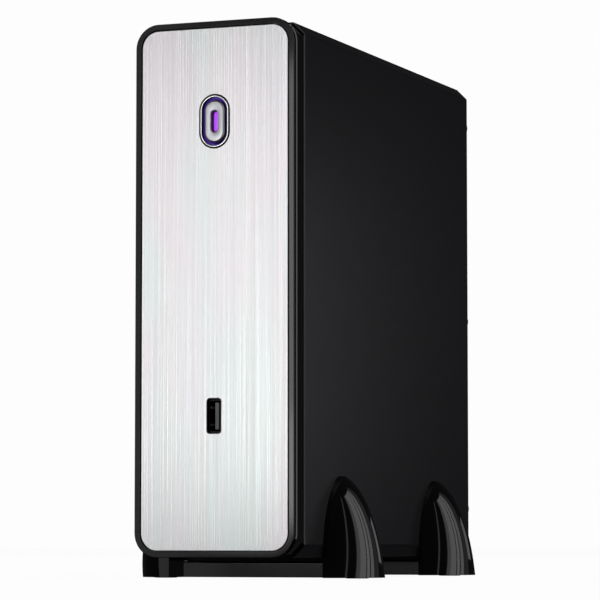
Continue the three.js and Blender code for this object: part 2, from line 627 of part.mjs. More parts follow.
// ---------- Feet ----------
// How much of its size on the desk a fin keeps at a share 0..1 of its height.
const finWidth = (share) => (1 - share ** 2.1) ** 0.61;
const finFront = (share) => (1 - share ** 2.6) ** 0.62;
function fin(side, centre, floor) {
  const arc = 12;
  const shares = [0, 0.16, 0.32, 0.47, 0.61, 0.73, 0.83, 0.91, 0.96, 0.99];
  const rings = shares.map((share) => {
    const z = floor + share * (FIN.high - floor);
    const bow = 4 * FIN.bow * share * (1 - share);
    const reach = FIN.out * finWidth(share);
    const front = FIN.front * finFront(share) - bow;
    const rear = FIN.rear * finWidth(share);
    return Array.from({ length: arc + 1 }, (_, i) => {
      const turn = -Math.PI / 2 + (i * Math.PI) / arc;
      const deep = turn < 0 ? front : rear;
      const x = FIN.inner + reach * Math.cos(turn);
      return [side * x, centre + FIN.ridge - bow + deep * Math.sin(turn), z];
    });
  });
  return loft(side > 0 ? rings : rings.map((ring) => ring.reverse()));
}
const PAD = { x: 43.5, radius: 5, thick: 1.4 };
const FOOT_FLOOR = 0.3; // the rubber pads stand this much proud
const BAR = { front: -1.5, rear: 15, top: 7.2 };
function foot(centre) {
  const bar = box(
    -FIN.inner - 1,
    FIN.inner + 1,
    centre + BAR.front,
    centre + BAR.rear,
    FOOT_FLOOR,
    BAR.top,
  );
  const pockets = [-1, 1].map((side) =>
    rod("z", PAD.radius + GAP, -1, PAD.thick + GAP, side * PAD.x, centre, 16),
  );
  return cut(join(fin(1, centre, FOOT_FLOOR), fin(-1, centre, FOOT_FLOOR), bar), ...pockets);
}
function feet() {
  ["front", "rear"].forEach((name, i) => {
    const centre = FOOT_Y[i];
    add(`${name}_foot`, "gloss_black", foot(centre));
    const [near, far] = [centre + BAR.front + 0.6, centre + BAR.rear - 0.6];
    const cushion = box(-33.5, 33.5, near, far, BAR.top + GAP, STAND - GAP);
    add(`${name}_cushion`, "rubber", cushion);
    [["left", -1], ["right", 1]].forEach(([hand, side]) =>
      add(`${name}_pad_${hand}`, "rubber", rod("z", PAD.radius, 0, PAD.thick, side * PAD.x, centre, 16)),
    );
  });
}

front();
steelCase();
board();
driveAndPower();
leads();
feet();

export default tower;
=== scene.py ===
"""The looks of a slim desktop computer tower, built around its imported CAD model.

Everything is in metres in the row frame: +X to the right, +Y to the rear, +Z up, the front faces -Y.
"""

import json
import math

import bmesh
import bpy
from mathutils import Matrix, Vector


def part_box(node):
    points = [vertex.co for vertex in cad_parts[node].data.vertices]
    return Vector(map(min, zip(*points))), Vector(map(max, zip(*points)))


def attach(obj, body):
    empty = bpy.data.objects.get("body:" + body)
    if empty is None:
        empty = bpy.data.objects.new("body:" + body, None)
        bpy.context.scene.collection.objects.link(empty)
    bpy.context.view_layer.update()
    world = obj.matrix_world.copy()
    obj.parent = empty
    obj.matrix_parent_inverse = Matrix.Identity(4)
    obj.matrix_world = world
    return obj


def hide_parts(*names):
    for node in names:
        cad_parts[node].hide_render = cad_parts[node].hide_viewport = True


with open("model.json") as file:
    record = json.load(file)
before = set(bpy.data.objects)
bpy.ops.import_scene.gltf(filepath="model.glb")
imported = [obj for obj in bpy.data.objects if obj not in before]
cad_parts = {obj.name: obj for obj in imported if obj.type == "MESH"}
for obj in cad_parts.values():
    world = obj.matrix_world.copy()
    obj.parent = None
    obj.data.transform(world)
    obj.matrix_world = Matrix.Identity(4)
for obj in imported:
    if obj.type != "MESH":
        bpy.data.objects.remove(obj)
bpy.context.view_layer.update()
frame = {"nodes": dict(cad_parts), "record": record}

MM = 0.001
RIM_LOW, RIM_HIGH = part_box("front_bezel")
COVER_LOW, COVER_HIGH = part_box("cover")
FRONT = RIM_LOW.y
HALF_RIM = RIM_HIGH.x
HEIGHT = RIM_HIGH.z - RIM_LOW.z
MID_Z = (RIM_HIGH.z + RIM_LOW.z) / 2
HALF_CASE = COVER_HIGH.x
CHAMFER = 5 * MM
SHEET = 1 * MM


# ---------- Camera, light and floor ----------
# The camera stands low on the right and looks slightly up.
CAMERA_PLACE = Vector((0.5027, FRONT - 1.1717, 0.0151))
CAMERA_TURN = math.radians(21.64)
CAMERA_PITCH = math.radians(4.42)
CAMERA_LENS = 187.86


def make_camera():
    camera = bpy.data.cameras.new("camera")
    camera.lens = CAMERA_LENS
    camera.sensor_width = 36
    camera.clip_start = 0.01
    camera.clip_end = 50
    holder = bpy.data.objects.new("camera", camera)
    holder.location = CAMERA_PLACE
    holder.rotation_euler = (math.pi / 2 + CAMERA_PITCH, 0, CAMERA_TURN)
    bpy.context.scene.collection.objects.link(holder)
    bpy.context.scene.camera = holder


def soft_box(name, place, target, size, radiance, tint=(1, 1, 1)):
    """A rectangular light that faces the target. A mirror image of radiance 1 is just white."""
    width, height = size
    lamp = bpy.data.lights.new(name, "AREA")
    lamp.shape = "RECTANGLE"
    lamp.size = width
    lamp.size_y = height
    lamp.energy = radiance * math.pi * width * height
    lamp.color = tint
    holder = bpy.data.objects.new(name, lamp)
    holder.location = place
    direction = Vector(target) - Vector(place)
    holder.rotation_euler = direction.to_track_quat("-Z", "Y").to_euler()
    bpy.context.scene.collection.objects.link(holder)


def beside(pivot, azimuth, distance):
    """A place round the pivot, its azimuth counted from straight in front towards the right."""
    x, y = pivot
    angle = math.radians(azimuth)
    return Vector((x + distance * math.sin(angle), y - distance * math.cos(angle), 0))


def tower(name, pivot, azimuths, heights, distance, radiance, tint=(1, 1, 1)):
    """An upright soft box that fills the azimuths and heights seen from the pivot at that distance."""
    first, last = azimuths
    low, high = heights
    place = beside(pivot, (first + last) / 2, distance)
    place.z = (low + high) / 2
    width = 2 * distance * math.tan(math.radians((last - first) / 2))
    target = (pivot[0], pivot[1], place.z)
    soft_box(name, place, target, (width, high - low), radiance, tint)


STRIP_TINT = (0.98, 0.97, 1)
GLOW_TINT = (0.96, 0.95, 1)
# The tall strips of light on the right: first and last azimuth in degrees, and radiance.
SIDE_STRIPS = [
    (38.8, 42.4, 0.7),
    (63, 73, 1.0),
    (73, 89.5, 1.8),
    (92, 100.5, 2.0),
    (103.5, 115, 1.5),
    (116, 133, 0.22),
]


def make_lights():
    """Upright soft boxes round the tower, each where a glossy face mirrors it to the camera."""
    panel = (0, FRONT)
    foot = (HALF_CASE + 8 * MM, FRONT + 45 * MM)
    side = (HALF_CASE, FRONT + 110 * MM)
    tower("key", panel, (-23.8, -9.5), (0.03, 0.46), 1.6, 2.5)
    tower("high_key", panel, (-19, -7), (0.43, 0.62), 1.58, 2.0)
    tower("low_key", panel, (-23.8, -10), (0.03, 0.13), 1.58, 1.7)
    tower("fill", panel, (-62, -14), (-0.5, 0.8), 2.2, 0.25)
    tower("left_fill", panel, (-62, -24), (-0.5, 0.8), 2.1, 0.25)
    for i, (first, last, radiance) in enumerate(SIDE_STRIPS, 1):
        tower(f"side_strip_{i}", foot, (first, last), (-0.4, 3.4), 1.2, radiance, STRIP_TINT)
    tower("side_glow", side, (134, 148.2), (0.03, 0.25), 0.62, 0.9, GLOW_TINT)
    tower("rear_fill", side, (-152, -115), (0.2, 1.4), 1.8, 1.6)
    soft_box("top_fill", (-1.4, 0.4, 1.5), (0, 0, 0.2), (0.9, 0.9), 1.6)


BACKDROP_WHITE = 0.982
ROOM_LIGHT = 0.024
FLOOR_WHITE = 0.965


def make_world():
    """White to the camera and dim to everything else, as in a studio with black walls."""
    world = bpy.data.worlds.new("studio")
    world.use_nodes = True
    bpy.context.scene.world = world
    tree = world.node_tree
    tree.nodes.clear()
    dim = tree.nodes.new("ShaderNodeBackground")
    dim.inputs["Color"].default_value = (0.9, 0.92, 1, 1)
    dim.inputs["Strength"].default_value = ROOM_LIGHT
    white = tree.nodes.new("ShaderNodeBackground")
    white.inputs["Color"].default_value = (BACKDROP_WHITE, BACKDROP_WHITE, BACKDROP_WHITE, 1)
    path = tree.nodes.new("ShaderNodeLightPath")
    mix = tree.nodes.new("ShaderNodeMixShader")
    out = tree.nodes.new("ShaderNodeOutputWorld")
    tree.links.new(path.outputs["Is Camera Ray"], mix.inputs[0])
    tree.links.new(dim.outputs[0], mix.inputs[1])
    tree.links.new(white.outputs[0], mix.inputs[2])
    tree.links.new(mix.outputs[0], out.inputs[0])


def make_floor():
    """A white ground that takes faint shadows and is left out of mirror images."""
    bpy.ops.mesh.primitive_plane_add(size=12, location=(0, 0, -0.0001))
    floor = bpy.context.active_object
    floor.name = "floor"
    material = bpy.data.materials.new("floor")
    material.use_nodes = True
    shader = material.node_tree.nodes["Principled BSDF"]
    shader.inputs["Base Color"].default_value = (0.04, 0.04, 0.04, 1)
    shader.inputs["Roughness"].default_value = 1
    shader.inputs["Specular IOR Level"].default_value = 0
    shader.inputs["Emission Color"].default_value = (1, 1, 1, 1)
    shader.inputs["Emission Strength"].default_value = FLOOR_WHITE
    floor.data.materials.append(material)
    floor.visible_glossy = False
    floor.visible_diffuse = False


# ---------- Materials ----------
def shader_of(name, colour, roughness, metallic=0.0):
    material = bpy.data.materials.new(name)
    material.use_nodes = True
    shader = material.node_tree.nodes["Principled BSDF"]
    shader.inputs["Base Color"].default_value = (*colour, 1)
    shader.inputs["Roughness"].default_value = roughness
    shader.inputs["Metallic"].default_value = metallic
    return material, material.node_tree, shader


def noise(tree, scale, stretch=(1, 1, 1), detail=3.0):
    """Noise in object space, so that it stays on the piece. scale is in cycles per metre."""
    place = tree.nodes.new("ShaderNodeTexCoord")
    mapping = tree.nodes.new("ShaderNodeMapping")
    mapping.inputs["Scale"].default_value = stretch
    texture = tree.nodes.new("ShaderNodeTexNoise")
    texture.inputs["Scale"].default_value = scale
    texture.inputs["Detail"].default_value = detail
    tree.links.new(place.outputs["Object"], mapping.inputs["Vector"])
    tree.links.new(mapping.outputs[0], texture.inputs["Vector"])
    return texture.outputs["Fac"]


def ramp(tree, source, low, high, first=0.3, last=0.7):
    """Colours from low to high as the source goes from first to last."""
    node = tree.nodes.new("ShaderNodeValToRGB")
    node.color_ramp.elements[0].position = first
    node.color_ramp.elements[1].position = last
    node.color_ramp.elements[0].color = (*low, 1)
    node.color_ramp.elements[1].color = (*high, 1)
    tree.links.new(source, node.inputs[0])
    return node.outputs[0]


def spread(tree, source, low, high):
    """A number from low to high."""
    node = tree.nodes.new("ShaderNodeMapRange")
    node.inputs["From Min"].default_value = 0.3
    node.inputs["From Max"].default_value = 0.7
    node.inputs["To Min"].default_value = low
    node.inputs["To Max"].default_value = high
    tree.links.new(source, node.inputs["Value"])
    return node.outputs[0]


def blend(tree, kind, first, second, amount):
    node = tree.nodes.new("ShaderNodeMix")
    node.data_type = "RGBA"
    node.blend_type = kind
    node.inputs["Factor"].default_value = amount
    tree.links.new(first, node.inputs["A"])
    tree.links.new(second, node.inputs["B"])
    return node.outputs["Result"]


def relief(tree, shader, height, distance):
    node = tree.nodes.new("ShaderNodeBump")
    node.inputs["Distance"].default_value = distance
    node.inputs["Strength"].default_value = 1
    tree.links.new(height, node.inputs["Height"])
    tree.links.new(node.outputs[0], shader.inputs["Normal"])


def tones(colour, share):
    """The colour made darker and lighter by that share."""
    return [tuple(min(c * k, 1) for c in colour) for k in (1 - share, 1 + share)]


def moulded(name, colour, roughness, grain=0.000004, tone=0.12, metallic=0.0):
    """Moulded plastic, rubber or painted metal: a cloudy tone, uneven gloss and a fine grain."""
    material, tree, shader = shader_of(name, colour, roughness, metallic)
    low, high = tones(colour, tone)
    tree.links.new(ramp(tree, noise(tree, 60), low, high), shader.inputs["Base Color"])
    gloss = spread(tree, noise(tree, 35), roughness * 0.85, roughness * 1.15)
    tree.links.new(gloss, shader.inputs["Roughness"])
    relief(tree, shader, noise(tree, 1800, detail=2), grain)
    return material


def powder_coat(name):
    """Fine-textured black powder coat with a soft orange peel."""
    colour = (0.004, 0.004, 0.005)
    material, tree, shader = shader_of(name, colour, 0.3)
    low, high = tones(colour, 0.15)
    cloud = ramp(tree, noise(tree, 900, detail=4), low, high)
    tree.links.new(cloud, shader.inputs["Base Color"])
    gloss = spread(tree, noise(tree, 700, detail=4), 0.28, 0.34)
    tree.links.new(gloss, shader.inputs["Roughness"])
    peel = blend(tree, "ADD", noise(tree, 1500, detail=5), noise(tree, 350, detail=1), 0.6)
    relief(tree, shader, peel, 0.00003)
    return material


def brushed(name):
    """Aluminium brushed along Z: fine and broad streaks under faint warm, cool, pink and green tints."""
    material, tree, shader = shader_of(name, (0.8, 0.81, 0.83), 0.3, 1.0)
    fine = noise(tree, 1, (8000, 8000, 7), 2)
    broad = noise(tree, 1, (3800, 3800, 3), 2)
    hue = noise(tree, 1, (1500, 1500, 5), 1)
    cloud = noise(tree, 1, (34, 34, 13), 1)
    light = ramp(tree, fine, (0.8, 0.805, 0.81), (1, 1, 1))
    wide = ramp(tree, broad, (0.9, 0.9, 0.905), (1, 1, 1), 0.35, 0.65)
    colour = blend(tree, "MULTIPLY", light, wide, 1)
    warm_cool = ramp(tree, hue, (1.0, 0.97, 0.96), (0.965, 0.99, 1.0), 0.36, 0.64)
    colour = blend(tree, "MULTIPLY", colour, warm_cool, 1)
    pink_green = ramp(tree, cloud, (1.0, 0.96, 0.985), (0.95, 1.0, 0.985), 0.38, 0.62)
    colour = blend(tree, "MULTIPLY", colour, pink_green, 1)
    tree.links.new(colour, shader.inputs["Base Color"])
    gloss = spread(tree, fine, 0.24, 0.4)
    tree.links.new(gloss, shader.inputs["Roughness"])
    shader.inputs["Anisotropic"].default_value = 0.75
    along = tree.nodes.new("ShaderNodeTangent")
    along.direction_type = "RADIAL"
    along.axis = "Z"
    tree.links.new(along.outputs[0], shader.inputs["Tangent"])
    relief(tree, shader, fine, 0.000006)
    return material


def bright_metal(name, colour, roughness, scratches=(1, 1, 1)):
    """Plated or bare sheet metal with blotches and faint rolling marks."""
    material, tree, shader = shader_of(name, colour, roughness, 1.0)
    low, high = tones(colour, 0.1)
    blotches = ramp(tree, noise(tree, 90, scratches, 4), low, high)
    tree.links.new(blotches, shader.inputs["Base Color"])
    gloss = spread(tree, noise(tree, 45), roughness * 0.8, roughness * 1.25)
    tree.links.new(gloss, shader.inputs["Roughness"])
    relief(tree, shader, noise(tree, 900, scratches, 2), 0.000006)
    return material


def circuit(name):
    """Green solder mask over a maze of copper tracks."""
    material, tree, shader = shader_of(name, (0.01, 0.08, 0.045), 0.35)
    place = tree.nodes.new("ShaderNodeTexCoord")
    tracks = tree.nodes.new("ShaderNodeTexVoronoi")
    tracks.distance = "CHEBYCHEV"
    tracks.feature = "DISTANCE_TO_EDGE"
    tracks.inputs["Scale"].default_value = 260
    tree.links.new(place.outputs["Object"], tracks.inputs["Vector"])
    copper, mask = (0.02, 0.16, 0.07), (0.006, 0.055, 0.03)
    lines = ramp(tree, tracks.outputs["Distance"], copper, mask, 0.04, 0.1)
    shade = ramp(tree, noise(tree, 70), (0.75, 0.75, 0.75), (1, 1, 1))
    tree.links.new(blend(tree, "MULTIPLY", lines, shade, 1), shader.inputs["Base Color"])
    relief(tree, shader, tracks.outputs["Distance"], 0.00004)
    return material


def glowing(name, colour, strength, roughness=0.25):
    """A lit lens: it glows a little unevenly and keeps a glossy skin."""
    material, tree, shader = shader_of(name, colour, roughness)
    shader.inputs["Emission Strength"].default_value = strength
    low, high = tones(colour, 0.12)
    light = ramp(tree, noise(tree, 400), low, high)
    tree.links.new(light, shader.inputs["Emission Color"])
    tree.links.new(light, shader.inputs["Base Color"])
    return material


MATERIALS = {
    "gloss_black": moulded("gloss_black", (0.004, 0.004, 0.0045), 0.07, 0.0000008),
    "satin_black": moulded("satin_black", (0.006, 0.006, 0.007), 0.24, 0.000003),
    "rubber": moulded("rubber", (0.018, 0.018, 0.018), 0.85, 0.00003),
    "brushed_aluminium": brushed("brushed_aluminium"),
    "satin_silver": moulded("satin_silver", (0.62, 0.62, 0.65), 0.3, 0.000005, 0.06, 0.85),
    "ring_light": glowing("ring_light", (0.07, 0.025, 0.3), 0.5),
    "bar_light": glowing("bar_light", (0.46, 0.08, 0.95), 1.0),
    "black_steel": powder_coat("black_steel"),
    "bare_steel": bright_metal("bare_steel", (0.5, 0.51, 0.52), 0.38, (1, 1, 0.15)),
    "nickel": bright_metal("nickel", (0.62, 0.61, 0.58), 0.22),
    "chrome": bright_metal("chrome", (0.88, 0.88, 0.89), 0.16),
    "dark_metal": bright_metal("dark_metal", (0.03, 0.03, 0.032), 0.35),
    "gold": bright_metal("gold", (0.8, 0.55, 0.2), 0.25),
    "black_plastic": moulded("black_plastic", (0.016, 0.016, 0.017), 0.45, 0.000012),
    "grey_plastic": moulded("grey_plastic", (0.38, 0.36, 0.38), 0.4, 0.000008),
    "circuit_board": circuit("circuit_board"),
    "white_plastic": moulded("white_plastic", (0.7, 0.7, 0.66), 0.4),
    "led_clear": glowing("led_clear", (0.6, 0.45, 1.0), 0.6, 0.1),
    "heatsink": bright_metal("heatsink", (0.5, 0.52, 0.55), 0.4, (0.2, 1, 1)),
    "drive_case": bright_metal("drive_case", (0.4, 0.41, 0.43), 0.35, (1, 0.2, 1)),
    "cable_black": moulded("cable_black", (0.02, 0.02, 0.02), 0.5, 0.00001),
    "cable_red": moulded("cable_red", (0.4, 0.02, 0.02), 0.45, 0.00001),
}
PURPLE_SLOT = "purple_lens"


# ---------- Outlines, in a plane, around their own centre ----------
def unit_vector(degrees):
    angle = math.radians(degrees)
    return Vector((math.cos(angle), math.sin(angle)))


def corner_ring(width, height, radius, steps=12, chamfered=False):
    """A rectangle with round or chamfered corners, as (x, z) points."""
    points = []
    for side_x, side_z, start in ((1, -1, -90), (1, 1, 0), (-1, 1, 90), (-1, -1, 180)):
        centre = Vector((side_x * (width / 2 - radius), side_z * (height / 2 - radius)))
        first, last = unit_vector(start), unit_vector(start + 90)
        for step in range(steps + 1):
            share = step / steps
            arc = unit_vector(start + 90 * share)
            points.append(centre + radius * (first.lerp(last, share) if chamfered else arc))
    return points


def oval(width, height, steps=14):
    return corner_ring(width, height, width / 2, steps)


def at_depth(outline, y, centre):
    """The outline placed at depth y behind the front plane, round an (x, z) centre."""
    return [(centre[0] + x, FRONT + y, centre[1] + z) for x, z in outline]


# ---------- Meshes ----------
def to_object(name, mesh_edit):
    """The finished mesh as a piece in the scene."""
    bmesh.ops.recalc_face_normals(mesh_edit, faces=mesh_edit.faces)
    mesh = bpy.data.meshes.new(name)
    mesh_edit.to_mesh(mesh)
    mesh_edit.free()
    piece = bpy.data.objects.new(name, mesh)
    bpy.context.scene.collection.objects.link(piece)
    return piece


def loft(name, rings, closed=False):
    """A skin over rings of equal count. A closed one ends on its first ring, any other has caps."""
    edit = bmesh.new()
    rows = [[edit.verts.new(point) for point in ring] for ring in rings]
    pairs = list(zip(rows, rows[1:]))
    if closed:
        pairs.append((rows[-1], rows[0]))
    else:
        edit.faces.new(rows[0])
        edit.faces.new(rows[-1])
    for a, b in pairs:
        for i in range(len(a)):
            j = (i + 1) % len(a)
            edit.faces.new((a[i], a[j], b[j], b[i]))
    return to_object(name, edit)


def slab(name, loops, near, far):
    """A flat plate between the points of the loops and the same points moved from near to far.

    The first loop is the outline and the others are holes. A loop's points are placed by near(x, z).
    """
    edit = bmesh.new()
    sides = []
    edges = []
    for loop in loops:
        verts = [edit.verts.new(near(*point)) for point in loop]
        sides.append(verts)
        edges += [edit.edges.new((a, b)) for a, b in zip(verts, verts[1:] + verts[:1])]
    bmesh.ops.triangle_fill(edit, use_beauty=True, use_dissolve=False, edges=edges)
    caps = [list(face.verts) for face in edit.faces]
    other = {}
    for loop, verts in zip(loops, sides):
        for point, vert in zip(loop, verts):
            other[vert] = edit.verts.new(far(*point))
    for cap in caps:
        edit.faces.new([other[v] for v in reversed(cap)])
    for verts in sides:
        for a, b in zip(verts, verts[1:] + verts[:1]):
            edit.faces.new((a, b, other[b], other[a]))
    return to_object(name, edit)


def front_slab(name, loops, y0, y1, centre=(0, 0)):
    """A flat plate across the front, from depth y0 to y1 behind the front plane."""

    def at(y):
        return lambda x, z: (centre[0] + x, FRONT + y, centre[1] + z)

    return slab(name, loops, at(y0), at(y1))


def moved(outline, x, z):
    return [(p[0] + x, p[1] + z) for p in outline]


def block(name, low, high):
    """A box between two corners; soften rounds its edges."""
    low, high = Vector(low), Vector(high)
    ring = [(low.x, low.z), (high.x, low.z), (high.x, high.z), (low.x, high.z)]
    return loft(name, [[(x, y, z) for x, z in ring] for y in (low.y, high.y)])


def settle(piece):
    """Makes the modifiers' result the piece's own mesh."""
    graph = bpy.context.evaluated_depsgraph_get()
    mesh = bpy.data.meshes.new_from_object(piece.evaluated_get(graph))
    piece.modifiers.clear()
    piece.data = mesh


def boolean(piece, tool, operation):
    """Cuts the tool out of the piece, or joins it on, and removes the tool."""
    modifier = piece.modifiers.new("boolean", "BOOLEAN")
    modifier.operation = operation
    modifier.solver = "EXACT"
    modifier.object = tool
    settle(piece)
    bpy.data.objects.remove(tool)


def flat_shading(piece):
    """Keeps the large faces flat where they meet small rounded edges."""
    weights = piece.modifiers.new("flat_shading", "WEIGHTED_NORMAL")
    weights.keep_sharp = True
    return piece


def soften(piece, width, segments=2):
    """Rounds the sharp edges and shades the faces between them as flat."""
    for polygon in piece.data.polygons:
        polygon.use_smooth = True
    bevel = piece.modifiers.new("rounded_edges", "BEVEL")
    bevel.width = width
    bevel.segments = segments
    bevel.limit_method = "ANGLE"
    bevel.angle_limit = math.radians(30)
    bevel.use_clamp_overlap = True
    bevel.harden_normals = True
    return flat_shading(piece)


def smooth(piece, angle):
    """Shades the piece as round, except at edges sharper than the angle in degrees."""
    for polygon in piece.data.polygons:
        polygon.use_smooth = True
    piece.data.set_sharp_from_angle(angle=math.radians(angle))
    return piece


def dress(piece, material, body, slot, *nodes):
    """The piece gets its look, the body it moves with and the nodes it replaces; the material slot is
    not used.
    """
    piece.data.materials.clear()
    piece.data.materials.append(MATERIALS[material])
    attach(piece, body)
    if nodes:
        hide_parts(*nodes)


# ---------- Front ----------
RIM_EDGE = 2.4 * MM  # width of the rim
PANEL_INSET = 2.95 * MM  # from the outline of the front to the panel
RIM_RADIUS = 10 * MM
COLLAR_END = 14 * MM  # depth to which the collar reaches over the case
BUTTON_LOW, BUTTON_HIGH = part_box("power_button")
BUTTON_Z = (BUTTON_LOW.z + BUTTON_HIGH.z) / 2
PORT_LOW, PORT_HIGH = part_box("usb_shell")
PORT_Z = (PORT_LOW.z + PORT_HIGH.z) / 2
PORT_HOLE = (6.6 * MM, 14.65 * MM)
TONGUE_SHIFT = 0.5 * MM  # how far left of the CAD's tongue it stands
CLIP_X = 28 * MM
CLIP_HALF = 4 * MM  # half the height of a clip hook


def inset_ring(inset, chamfered=False):
    """The front's outline, made smaller by the inset on every side."""
    width, height = 2 * (HALF_RIM - inset), HEIGHT - 2 * inset
    if chamfered:
        return corner_ring(width, height, CHAMFER, chamfered=True)
    return corner_ring(width, height, RIM_RADIUS - inset)


def quarter(inset, depth, radius, start, steps=6):
    """(inset, depth) points round a small fillet; start is the angle of the first point in degrees."""
    angles = [math.radians(start + 90 * i / steps) for i in range(steps + 1)]
    return [(inset + radius * math.cos(a), depth + radius * math.sin(a)) for a in angles]


def front_frame():
    """The glossy frame: lip, groove, rim and collar, as one closed shell round the panel."""
    outer, inner = 0.3 * MM, 0.2 * MM
    collar = HALF_RIM - HALF_CASE + 0.2 * MM
    wall = collar + 2 * MM
    lip = [(0.15, 3.8), (0, 3.65), (0, 3.5), (0.4, 3), (0.6, 3.35)]
    groove = [(0.95, 3.4), (0.95, 0.6), (0.1, 0.55), (0, 0.45)]
    rounded = [(inset * MM, depth * MM) for inset, depth in lip + groove]
    rounded += quarter(outer, outer, outer, 180)
    rounded += quarter(RIM_EDGE - inner, inner, inner, -90)
    rounded += [(RIM_EDGE, 1.5 * MM), (RIM_EDGE + 6 * MM, 1.5 * MM), (RIM_EDGE + 6 * MM, 3.3 * MM)]
    chamfered = [(wall, 3.6 * MM), (wall, COLLAR_END), (collar + 0.35 * MM, COLLAR_END)]
    chamfered += [(collar, COLLAR_END - 0.3 * MM), (collar, 3.85 * MM)]
    rings = [at_depth(inset_ring(inset), y, (0, MID_Z)) for inset, y in rounded]
    rings += [at_depth(inset_ring(inset, True), y, (0, MID_Z)) for inset, y in chamfered]
    piece = flat_shading(smooth(loft("front_frame", rings, closed=True), 35))
    dress(piece, "gloss_black", "case", "gloss_black", "front_bezel")


def openings(button_size, port_steps):
    """The outlines of the holes for the power button and the USB socket."""
    button = moved(oval(*button_size), 0, BUTTON_Z)
    port = moved(corner_ring(*PORT_HOLE, 1.5 * MM, port_steps), 0, PORT_Z)
    return [button, port]


def front_backing():
    """The wall behind the panel, with its two openings."""
    outline = moved(inset_ring(RIM_EDGE + 5.5 * MM), 0, MID_Z)
    loops = [outline, *openings((14.1 * MM, 23 * MM), 6)]
    piece = front_slab("front_backing", loops, 1.55 * MM, 3.35 * MM)
    dress(soften(piece, 0.2 * MM), "gloss_black", "case", "gloss_black", "front_bezel")


def clip_hook(name, side, z):
    """A snap hook that reaches back from the wall, with a tooth on its outer face."""
    x = side * CLIP_X
    tooth_x = x + side * 1.4 * MM
    arm = block(
        name,
        (x - 1 * MM, FRONT + 3.3 * MM, z - CLIP_HALF),
        (x + 1 * MM, FRONT + 18.1 * MM, z + CLIP_HALF),
    )
    tooth = block(
        "tooth",
        (tooth_x - 0.6 * MM, FRONT + 16.6 * MM, z - CLIP_HALF),
        (tooth_x + 0.6 * MM, FRONT + 18 * MM, z + CLIP_HALF),
    )
    boolean(arm, tooth, "UNION")
    dress(soften(arm, 0.3 * MM), "satin_black", "case", "gloss_black", "front_bezel")


def clip_hooks():
    for hand, side in (("left", -1), ("right", 1)):
        clip_hook(f"clip_{hand}_lower", side, RIM_LOW.z + 30 * MM)
        clip_hook(f"clip_{hand}_upper", side, RIM_HIGH.z - 30 * MM)


def brushed_panel():
    """The thin aluminium sheet on the front."""
    outline = moved(inset_ring(PANEL_INSET), 0, MID_Z)
    loops = [outline, *openings((13.7 * MM, 22.6 * MM), 8)]
    piece = front_slab("brushed_panel", loops, 0.3 * MM, 0.6 * MM)
    soften(piece, 0.08 * MM)
    dress(piece, "brushed_aluminium", "case", "brushed_aluminium", "front_panel")


def port_rim():
    """A thin black liner round the port's opening in the panel."""
    outer = moved(corner_ring(6.7 * MM, 14.75 * MM, 1.5 * MM, 8), 0, PORT_Z)
    inner = moved(corner_ring(6.1 * MM, 14.1 * MM, 1.3 * MM, 8), 0, PORT_Z)
    piece = front_slab("port_rim", [outer, inner], 0.22 * MM, 1.5 * MM)
    dress(soften(piece, 0.08 * MM), "gloss_black", "case", "gloss_black")


def oval_rings(size, profile):
    """An oval round the button's centre for each (inset, depth) of the profile, in millimetres."""
    width, height = size
    rings = []
    for inset, depth in profile:
        outline = oval((width - 2 * inset) * MM, (height - 2 * inset) * MM)
        rings.append(at_depth(outline, depth * MM, (0, BUTTON_Z)))
    return rings


def oval_tube(name, size, wall, depths, crown):
    """An oval tube seen end on, with a crowned front edge, all in millimetres."""
    front, rear = depths
    steps = 8
    profile = [(0, rear), (0, front + crown)]
    for i in range(1, steps):
        angle = math.pi * i / steps
        profile.append((wall / 2 * (1 - math.cos(angle)), front + crown * (1 - math.sin(angle))))
    profile += [(wall, front + crown), (wall, rear)]
    return smooth(loft(name, oval_rings(size, profile), closed=True), 50)


def button_surround():
    """Round the cap: a black surround, a bright trim and a ring that lights up."""
    surround = oval_tube("button_surround", (13.6, 22.5), 0.45, (1.5, 8), 0.15)
    dress(surround, "gloss_black", "case", "gloss_black", "button_ring")
    trim = oval_tube("button_trim", (12.45, 21.35), 0.58, (0.05, 7), 0.08)
    dress(trim, "chrome", "case", "nickel")
    glow = oval_tube("button_ring_light", (11.2, 20.1), 0.8, (2.6, 8), 0.2)
    dress(glow, "ring_light", "case", PURPLE_SLOT, "light_ring")


def button_cap():
    """The silver cap with the slot for its light, and a black skirt of painted shade over the side wall
    below its edge.
    """
    edge, lip = 0.7, 0.3
    outward = [(0, 4.5), *quarter(edge, edge, edge, 180, 8)]
    inward = [*quarter(-lip, lip, lip, -90, 4), (0, 2.6), (-0.3, 2.7), (-0.3, 4.5)]
    rings = oval_rings((8.7, 17.4), outward) + oval_rings((3.1, 8.9), inward)
    cap = smooth(loft("button_cap", rings, closed=True), 50)
    dress(cap, "satin_silver", "button", "satin_silver", "power_button")
    # Painted shade: a black sleeve over the silver cap's side wall, standing in for the shade in the
    # narrow gap round the cap.
    shade_skirt = oval_tube("button_shade_skirt", (8.9, 17.6), 0.3, (0.7, 4.5), 0.1)
    dress(shade_skirt, "gloss_black", "button", "satin_silver", "power_button")


def button_light():
    """The lens of the light bar, and a black liner of painted shade on the wall of its slot."""
    bar = [(0, 4.6), (0, 3.3), *quarter(0.4, 3.3, 0.4, 180, 5)]
    lens = smooth(loft("button_bar_light", oval_rings((2.7, 8.5), bar)), 50)
    dress(lens, "bar_light", "button", PURPLE_SLOT, "button_lens")
    # Painted shade: black plastic over the silver slot wall, standing in for the shade in the recess.
    slot_shade = oval_tube("button_slot_shade", (3.08, 8.88), 0.14, (0.5, 3.1), 0.05)
    dress(slot_shade, "black_plastic", "button", "satin_silver", "power_button")


def button_stem():
    """The stem behind the cap that works the switch's plunger."""
    low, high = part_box("switch_plunger")
    stem = block(
        "button_stem",
        (-1.4 * MM, FRONT + 4.4 * MM, low.z + 0.4 * MM),
        (1.4 * MM, BUTTON_HIGH.y, high.z - 0.4 * MM),
    )
    dress(soften(stem, 0.2 * MM), "grey_plastic", "button", "satin_silver", "power_button")


